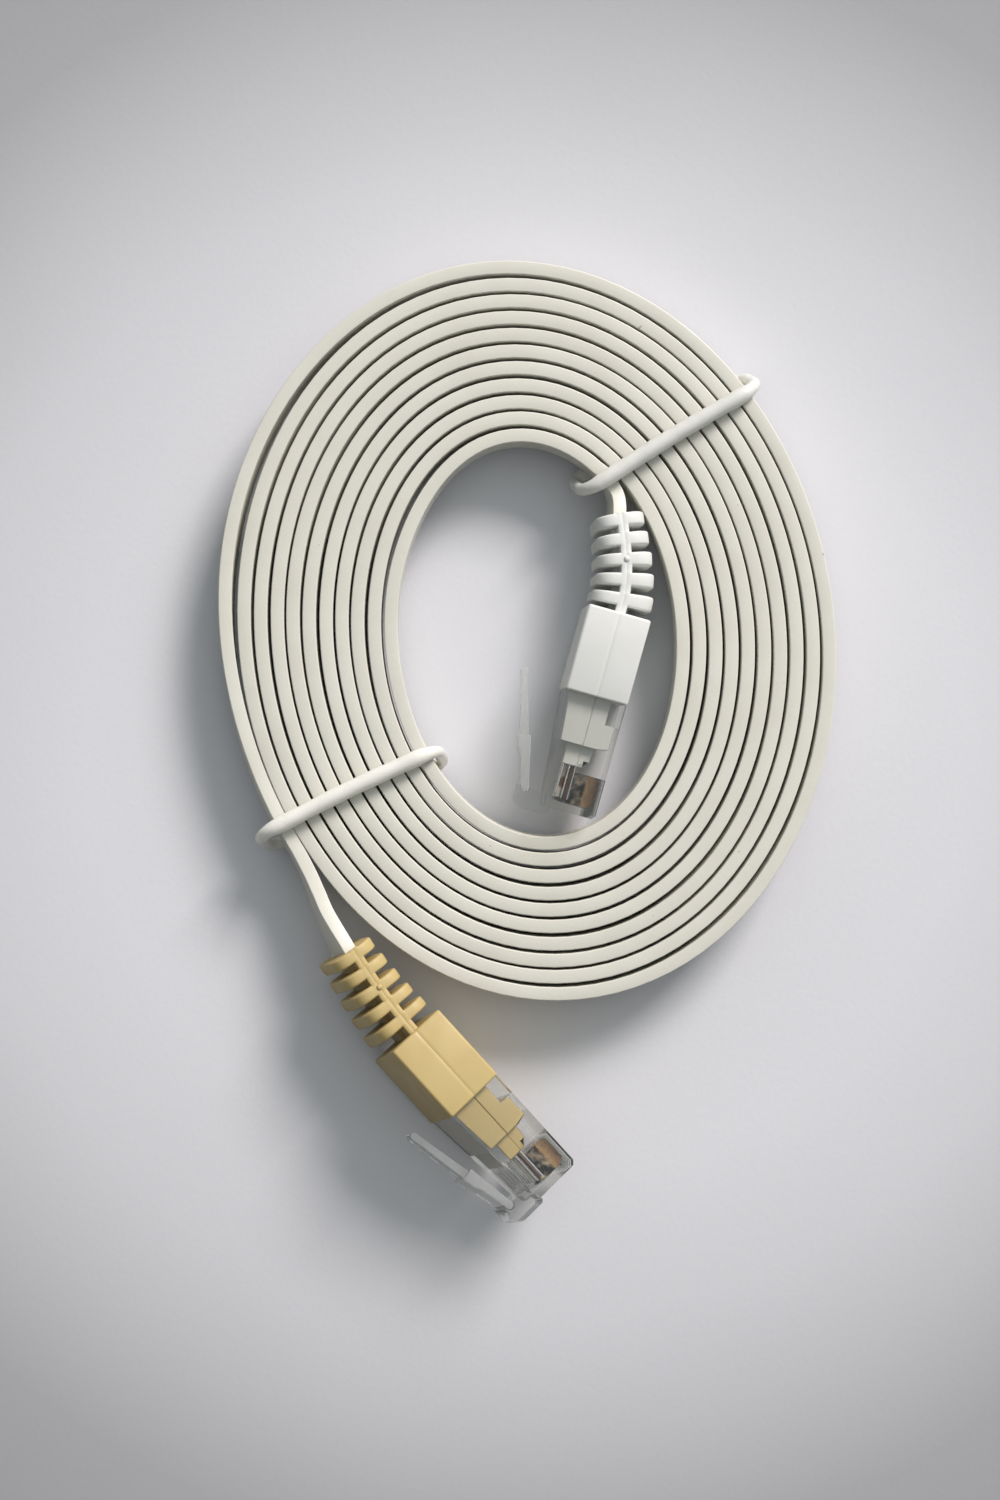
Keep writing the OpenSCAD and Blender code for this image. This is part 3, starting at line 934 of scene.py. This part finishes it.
@dataclass
class ElasticLoop:
    """A loop of round elastic that holds the turns together.

    A wave of its swell is a size and a rate in radians per ring.
    """

    name: str
    node: str
    centre: Point
    along: float
    lean: float
    length: float
    thick: float = 2.08
    jacket_w: float = 5.8
    play: float = 0.08
    packed_thick: float = 2.0
    corner: float = 2.4
    corner_steps: int = 8
    run_steps: int = 24
    end_steps: int = 4
    sides: int = 20
    sag: float = 0.22
    end_run: float = 3.0
    end_thinning: float = 0.28
    swell_waves: Sequence[Point] = ((0.02, 0.9), (0.012, 0.37))

    def middle(self) -> list[np.ndarray]:
        """Lays out the loop's middle line in its own plane.

        Returns:
            Points with their places along the loop and up it.
        """
        height = (self.jacket_w + self.packed_thick + 2 * self.play) / math.cos(
            math.radians(self.lean))
        outline = rounded_box(self.length, height, self.corner, self.corner_steps)
        rows: list[np.ndarray] = []
        for i, here in enumerate(outline):
            there = outline[(i + 1) % len(outline)]
            quarter, place = divmod(i, self.corner_steps + 1)
            straight = (self.run_steps, self.end_steps)[quarter % 2]
            count = straight if place == self.corner_steps else 1
            for k in range(count):
                rows.append(here + (there - here) * k / count)
        return rows

    def build(self) -> bpy.types.Object:
        """Makes the loop as one closed tube.

        Returns:
            The piece.
        """
        along, lean = math.radians(self.along), math.radians(self.lean)
        run = np.array([math.cos(along), math.sin(along), 0])
        side = np.array([-math.sin(along), math.cos(along), 0])
        up = np.array([0, 0, 1]) * math.cos(lean) - side * math.sin(lean)
        base = np.array([self.centre[0], self.centre[1],
                         self.packed_thick + self.play + self.jacket_w / 2])
        flat = self.middle()
        rows = []
        for p in flat:
            across = self.sag * math.cos(math.pi * p[0] / self.length) ** 2
            rows.append(base + run * p[0] + up * p[1] + side * across * (1 if p[1] > 0 else -1))
        rings = []
        for i, row in enumerate(rows):
            ahead = unit(rows[(i + 1) % len(rows)] - rows[i - 1])
            out = unit(np.cross(ahead, np.cross(run, up)))
            flank = np.cross(ahead, out)
            p = flat[i]
            end_on = ease((abs(p[0]) - self.length / 2 + self.end_run) / self.end_run)
            swell = (1 + waves(self.swell_waves, i)) * (1 - self.end_thinning * end_on)
            ring = [row + self.thick / 2 * swell * (out * math.cos(a) + flank * math.sin(a))
                    for a in np.linspace(0, 2 * math.pi, self.sides, endpoint=False)]
            rings.append(np.array(ring))
        return lofted(self.name, rings, closed=True)


# ---- Boots --------------------------------------------------------------------------


@dataclass(frozen=True)
class Section:
    """One cross-section of a boot's moulding, in the plug's y and z."""

    low: float
    high: float
    half: float
    corner: float
    seam: float
    groove_w: float = 0.06
    groove_d: float = 0.03
    bar_half: float = 0.66
    bar_top: float | None = None
    bar_round: float = 0.12
    bar_bevel: float = 0.16
    foot_spread: float = 0.04
    flank: float = 0.4
    least_corner: float = 0.05
    steps: int = 6

    def inset(self, by: float) -> "Section":
        """Returns the section drawn in by that distance, but for its spine."""
        return replace(self, low=self.low + by, high=self.high - by, half=self.half - by,
                       corner=max(self.least_corner, self.corner - by))

    def half_outline(self) -> list[tuple[float, float]]:
        """Lays out the outline above z = 0.

        Returns:
            The (y, z) points, from the contact side to the latch side.
        """
        r, top, bar = self.corner, self.half, self.bar_half
        right = [(self.high - r + r * math.cos(a), top - r + r * math.sin(a))
                 for a in np.linspace(0, math.pi / 2, self.steps)]
        left = [(self.low + r - r * math.cos(a), top - r + r * math.sin(a))
                for a in np.linspace(math.pi / 2, 0, self.steps)]
        crown, spread = (top, self.foot_spread) if self.bar_top is None else (self.bar_top, 0.0)
        round_by = min(self.bar_round, crown - top)
        bridge = [(bar + spread, top), (bar, crown - round_by), (bar - self.bar_bevel, crown),
                  (self.groove_w, crown), (0.0, crown - self.groove_d)]
        middle = [(self.seam + y, z) for y, z in bridge]
        middle += [(self.seam - y, z) for y, z in bridge[-2::-1]]
        edge = (self.high, self.flank * (top - r))
        return [edge, *right, *middle, *left, (self.low, edge[1])]

    def outline(self) -> np.ndarray:
        """Returns the whole outline as (y, z) points."""
        upper = self.half_outline()
        return np.array(upper + [(y, -z) for y, z in upper[::-1]])


@dataclass
class Boot:
    """A moulded boot: the fill inside the plug, its block, and the ribbed relief."""

    end: PlugEnd
    block_t: float = 8.05
    block_w: float = 13.2
    block_r: float = 0.4
    block_y: float = -0.675
    rib_t: float = 1.55
    rib_r: float = 2.2
    rear_rib: Point = (6.25, 8.6)
    front_rib: Point = (7.8, 10.6)
    core: Point = (2.4, 4.0)
    core_r: float = 0.8
    fill_w: float = 10.48
    tongue_w: float = 8.6
    edge: float = 0.3
    rib_edge: float = 0.28
    edge_angles: Point = (0, 30, 60, 90)
    plug_t: float = 6.5
    taper: float = 1.25
    wall: float = 0.5
    fill_edge: float = 0.1
    fill_groove: Point = (0.13, 0.2)
    shoulder_x: Point = (-11.75, -8.5)
    shoulder_run: float = 0.35
    shoulder_nose: float = 1.2
    shoulder_top: float = 2.6
    core_top: float = 1.35
    tongue_x: float = -5.8
    tongue_y: Point = (-2.5, -0.8)
    tongue_slope: Point = (0.9, 0.75)
    tongue_root: float = 0.96
    tongue_r: float = 0.15
    tongue_groove: Point = (0.08, 0.08)
    gate_dome: Sequence[Point] = (
        (-0.2, 0.4), (0.05, 0.4), (0.16, 0.34), (0.24, 0.22), (0.27, 0.08))
    gate_sides: int = 16

    def plain(self, low: float, high: float, half: float, corner: float,
              groove: Point = ()) -> Section:
        """Returns a plain section with the parting line's groove on its narrow faces."""
        return Section(low, high, half, corner, self.block_y, *groove)

    def fill_floor(self, x: float) -> float:
        """Returns where the fill's latch side lies at x."""
        return -self.plug_t / 2 + self.taper * x / self.end.plug_l + self.wall

    def fill_stations(self) -> list[tuple[float, Section]]:
        """Lays out the tongue, the shoulder and the lower step inside the clear plug.

        Returns:
            Stations from front to rear.
        """
        half, tongue, e = self.fill_w / 2, self.tongue_w / 2, self.fill_edge
        rear, front = self.shoulder_x
        low, high = self.tongue_y
        back, rise = self.tongue_slope
        thin = [(self.tongue_x, low + e, high - e, tongue - e, e),
                (self.tongue_x - e, low, high, tongue, self.tongue_r),
                (self.tongue_x - back, low, rise, tongue, self.tongue_r),
                (front, low, self.tongue_root, tongue, self.tongue_r)]
        full = [(front, e, self.shoulder_nose - e), (front - e, 0, self.shoulder_nose),
                (front - self.shoulder_run, 0, self.shoulder_top), (rear, 0, self.shoulder_top),
                (rear, 0, self.core_top), (-self.end.plug_l, 0, self.core_top)]
        rows = [(x, self.plain(*sizes, self.tongue_groove)) for x, *sizes in thin]
        rows += [(x, self.plain(self.fill_floor(x) + by, top, half - by, e + by / 2,
                                self.fill_groove)) for x, by, top in full]
        return rows

    def rounded(self, start: float, stop: float, body: Section,
                radius: float) -> list[tuple[float, Section]]:
        """Returns a stretch of one section whose two end edges are rounded.

        Args:
            start: Its front face on x.
            stop: Its rear face on x.
            body: The section between.
            radius: Radius of the end edges.

        Returns:
            Stations from front to rear.
        """
        bevels = [(radius * (1 - math.sin(a)), radius * (1 - math.cos(a)))
                  for a in np.radians(self.edge_angles)]
        front = [(start - back, body.inset(by)) for by, back in bevels]
        rear = [(stop + back, body.inset(by)) for by, back in bevels[::-1]]
        return front + rear

    def rib(self, i: int) -> Section:
        """Shapes one rib.

        Args:
            i: The rib's number, counted from the block.

        Returns:
            Its section.
        """
        share = i / (self.end.rib_count - 1)
        t, w = (r * share + f * (1 - share) for r, f in zip(self.rear_rib, self.front_rib))
        c = self.end.middle
        return Section(c - t / 2, c + t / 2, w / 2, self.rib_r, c, bar_top=w / 2)

    def neck(self, i: int) -> Section:
        """Shapes the neck in front of one rib.

        Args:
            i: The rib's number, counted from the block.

        Returns:
            The neck's section.
        """
        c, w = self.end.middle, self.rib(i).half
        return Section(c - self.core[0] / 2, c + self.core[0] / 2, self.core[1] / 2, self.core_r,
                       c, bar_top=w)

    def stations(self) -> list[tuple[float, Section]]:
        """Lays out the whole moulding.

        Returns:
            Its stations, from its tongue to its last rib.
        """
        y, half = self.block_y, self.block_t / 2
        block = self.plain(y - half, y + half, self.block_w / 2, self.block_r)
        rows = self.fill_stations()
        rows += self.rounded(-self.end.plug_l, self.end.rear, block, self.edge)
        for i in range(self.end.rib_count):
            rear = self.end.rib_rear(i)
            front = rear + self.rib_t
            rows.append((rows[-1][0], self.neck(i)))
            rows.append((front, self.neck(i)))
            rows += self.rounded(front, rear, self.rib(i), self.rib_edge)
        return rows

    def gate_mark(self) -> bpy.types.Object:
        """Makes the small round mark that the mould's gate leaves on the middle rib's spine.

        Returns:
            The piece.
        """
        middle = self.end.rib_count // 2
        origin, axes = self.end.frame(self.end.rib_rear(middle) + self.rib_t / 2)
        turns = np.linspace(0, 2 * math.pi, self.gate_sides, endpoint=False)
        rings = []
        for rise, radius in self.gate_dome:
            at = origin + self.end.middle * axes[1] + (self.rib(middle).half + rise) * axes[2]
            rings.append(np.array([at + radius * (math.cos(a) * axes[0] + math.sin(a) * axes[1])
                                   for a in turns]))
        return lofted(f"{self.end.name}_boot_gate_mark", rings)

    def build(self) -> bpy.types.Object:
        """Makes the boot as one closed mesh.

        Returns:
            The piece.
        """
        rings = []
        for x, section in self.stations():
            origin, axes = self.end.frame(x)
            flat = section.outline()
            rings.append(origin + flat[:, :1] * axes[1] + flat[:, 1:] * axes[2])
        return lofted(f"{self.end.name}_boot_moulding", rings)


# ---- Clear plugs --------------------------------------------------------------------


@dataclass
class ClearPlug:
    """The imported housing, latch, contacts and conductors of one plug."""

    end: PlugEnd
    nodes: dict[str, bpy.types.Object]
    edge: float = 0.18
    contact_edge: float = 0.05
    edge_segments: int = 2
    edge_angle: float = 40

    def dress(self, node: str, material: bpy.types.Material) -> bpy.types.Object:
        """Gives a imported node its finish.

        Args:
            node: The node's name.
            material: Its finish.

        Returns:
            The node's piece.
        """
        piece = self.nodes[node]
        piece.data.materials.clear()
        piece.data.materials.append(material)
        report(piece)
        return piece

    def soften(self, piece: bpy.types.Object, width: float) -> None:
        """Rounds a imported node's sharp edges a little, as a mould does.

        Args:
            piece: The node's piece.
            width: How far each edge is cut back.
        """
        bevel = piece.modifiers.new("moulded_edges", "BEVEL")
        bevel.width = width * MM
        bevel.segments = self.edge_segments
        bevel.limit_method = "ANGLE"
        bevel.angle_limit = math.radians(self.edge_angle)
        bevel.harden_normals = True

    def build(self, clear: bpy.types.Material, milky: bpy.types.Material,
              wires: Sequence[bpy.types.Material]) -> list[bpy.types.Object]:
        """Dresses the plug.

        Args:
            clear: The housing's finish.
            milky: The latch's finish.
            wires: The conductors' finishes, in the order of the contacts.

        Returns:
            Every node of the plug.
        """
        name = self.end.name
        pieces = [self.dress(f"{name}_plug_housing", clear),
                  self.dress(f"{name}_plug_latch", milky)]
        crown_side = tuple(self.end.frame(0.0)[1][1])
        gold = ContactMetal(f"{name}_contact_metal", self.end.nose, crown_side).material()
        for piece in pieces:
            self.soften(piece, self.edge)
        for i, wire in enumerate(wires, 1):
            pieces.append(self.dress(f"{name}_contact_{i}", gold))
            self.soften(pieces[-1], self.contact_edge)
            pieces.append(self.dress(f"{name}_conductor_{i}", wire))
        return pieces


# ---- Studio -------------------------------------------------------------------------


@dataclass
class Studio:
    """Camera, floor and soft light."""

    eye: Point = (-3.65, -0.9, 330.0)
    frame_h: float = 1500.0
    focal_in_frame: float = 2547.75
    sensor: float = 36.0
    clip_m: Point = (0.01, 20.0)
    floor_half: float = 1500.0
    floor_z: float = -0.13
    key_heading: float = 57.5
    key_rise: float = 32.5
    key_far: float = 3200.0
    key_wide: float = 1200.0
    key_tall: float = 1000.0
    key_power: float = 121.5
    key_tint: Colour = (1.0, 0.968, 0.962)
    sky: Colour = (0.965, 0.985, 0.99)
    sky_rise: float = 54.0
    sky_base: float = 0.064
    sky_gain: float = 0.73
    sky_least: float = 0.04

    def camera(self) -> None:
        """Hangs the camera over the cable, looking straight down."""
        data = bpy.data.cameras.new("overhead")
        data.sensor_width = self.sensor
        data.lens = self.sensor * self.focal_in_frame / self.frame_h
        data.clip_start, data.clip_end = self.clip_m
        camera = bpy.data.objects.new("overhead", data)
        camera.location = Vector(self.eye) * MM
        bpy.context.scene.collection.objects.link(camera)
        bpy.context.scene.camera = camera

    def floor(self) -> None:
        """Lays the pale card."""
        half, z = self.floor_half * MM, self.floor_z * MM
        mesh = bpy.data.meshes.new("pale_floor")
        mesh.from_pydata([(-half, -half, z), (half, -half, z), (half, half, z),
                          (-half, half, z)], [], [(0, 1, 2, 3)])
        floor = bpy.data.objects.new("pale_floor", mesh)
        floor.data.materials.append(PaperFloor().material())
        bpy.context.scene.collection.objects.link(floor)

    def lights(self) -> None:
        """Sets one large soft lamp and the sky."""
        data = bpy.data.lights.new("window", "AREA")
        data.shape, data.energy = "RECTANGLE", self.key_power
        data.size, data.size_y = self.key_wide * MM, self.key_tall * MM
        data.color = linear(self.key_tint)[:3]
        lamp = bpy.data.objects.new("window", data)
        away = Vector(direction(self.key_heading, self.key_rise))
        lamp.location = away * self.key_far * MM
        lamp.rotation_euler = away.to_track_quat("Z", "Y").to_euler()
        bpy.context.scene.collection.objects.link(lamp)
        self.sky_light()

    def sky_light(self) -> None:
        """Lights the scene from all round, most of all from above the lamp's side."""
        world = bpy.data.worlds.new("sky")
        world.use_nodes = True
        bench = Bench("sky", world.node_tree)
        brightest = direction(self.key_heading, self.sky_rise)
        towards = bench.node("ShaderNodeVectorMath", {"operation": "DOT_PRODUCT"},
                             {0: bench.place, 1: brightest}, "Value")
        level = bench.maths("MAXIMUM", towards * self.sky_gain + self.sky_base, self.sky_least)
        shader = bench.node("ShaderNodeBackground", {},
                            {"Color": linear(self.sky), "Strength": level})
        bench.finish("ShaderNodeOutputWorld", shader)
        bpy.context.scene.world = world

    def build(self) -> None:
        """Sets up the whole studio."""
        self.camera()
        self.floor()
        self.lights()
        bpy.context.scene.view_settings.view_transform = "Standard"


# ---- The whole cable ----------------------------------------------------------------


@dataclass
class PatchCable:
    """Every sub-assembly of the patch cable, in the order in which it is built."""

    nodes: dict[str, bpy.types.Object]
    cable: FlatCable = field(default_factory=FlatCable)
    vinyl: JacketVinyl = JacketVinyl()
    loops: Sequence[tuple[ElasticLoop, ElasticRubber]] = (
        (ElasticLoop("upper_elastic", "upper_tie", centre=(17.25, 39.4), along=31.5, lean=18,
                     length=25.8),
         ElasticRubber("upper_elastic_rubber", (0.855, 0.858, 0.835), (0.80, 0.803, 0.78))),
        (ElasticLoop("lower_elastic", "lower_tie", centre=(-22.45, -7.12), along=26, lean=-14,
                     length=25.05),
         ElasticRubber("lower_elastic_rubber", (0.90, 0.898, 0.868), (0.86, 0.858, 0.825))),
    )
    ends: Sequence[tuple[PlugEnd, BootVinyl]] = (
        (WHITE_END, BootVinyl("white_boot_vinyl", (0.85, 0.857, 0.842), (0.82, 0.827, 0.81))),
        (YELLOW_END, BootVinyl("yellow_boot_vinyl", (0.735, 0.655, 0.445), (0.70, 0.615, 0.405))),
    )
    clear: ClearPlastic = ClearPlastic()
    milky: ClearPlastic = ClearPlastic("milky_polycarbonate", clearness=0.82, haze=0.12, glow=1.0,
                                       tint=(0.93, 0.935, 0.925))

    def put(self, piece: bpy.types.Object, material: bpy.types.Material,
            replaced: Iterable[str] = ()) -> bpy.types.Object:
        """Finishes a new piece and ties it to the frame.

        Args:
            piece: The piece.
            material: Its finish.
            replaced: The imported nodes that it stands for.

        Returns:
            The piece.
        """
        piece.data.materials.append(material)
        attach(piece, "root")
        if replaced:
            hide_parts(*replaced)
        report(piece)
        return piece

    def build(self) -> None:
        """Builds the cable, its loops, the boots and the plugs."""
        jacket, line = self.cable.build()
        self.put(jacket, self.vinyl.material(),
                 ("cable_coil", "white_end_lead", "yellow_end_lead"))
        for loop, rubber in self.loops:
            self.put(loop.build(), rubber.material(), (loop.node,))
        clear, milky = self.clear.material(), self.milky.material()
        wires = [WireInsulation(wire).material() for wire in Wire]
        # The yellow end is built last, so far_end is left holding its pieces.
        far_end: list[bpy.types.Object] = []
        for end, vinyl in self.ends:
            moulding, finish = Boot(end), vinyl.material()
            boot = self.put(moulding.build(), finish, (f"{end.name}_boot",))
            mark = self.put(moulding.gate_mark(), finish)
            far_end = [boot, mark, *ClearPlug(end, self.nodes).build(clear, milky, wires)]
        length = sum(float(np.linalg.norm(b - a)) for a, b in zip(line, line[1:]))
        LOG.info("jacket: %.1f mm long", length)
        tuple(line[0] * MM)
        self.cable.width * MM
        [tuple(p * MM) for p in line]


def main() -> None:
    """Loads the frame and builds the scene."""
    logging.basicConfig(level=logging.INFO, format="%(message)s")
    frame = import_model()
    Studio().build()
    PatchCable(frame["nodes"]).build()


if __name__ == "__main__":
    main()
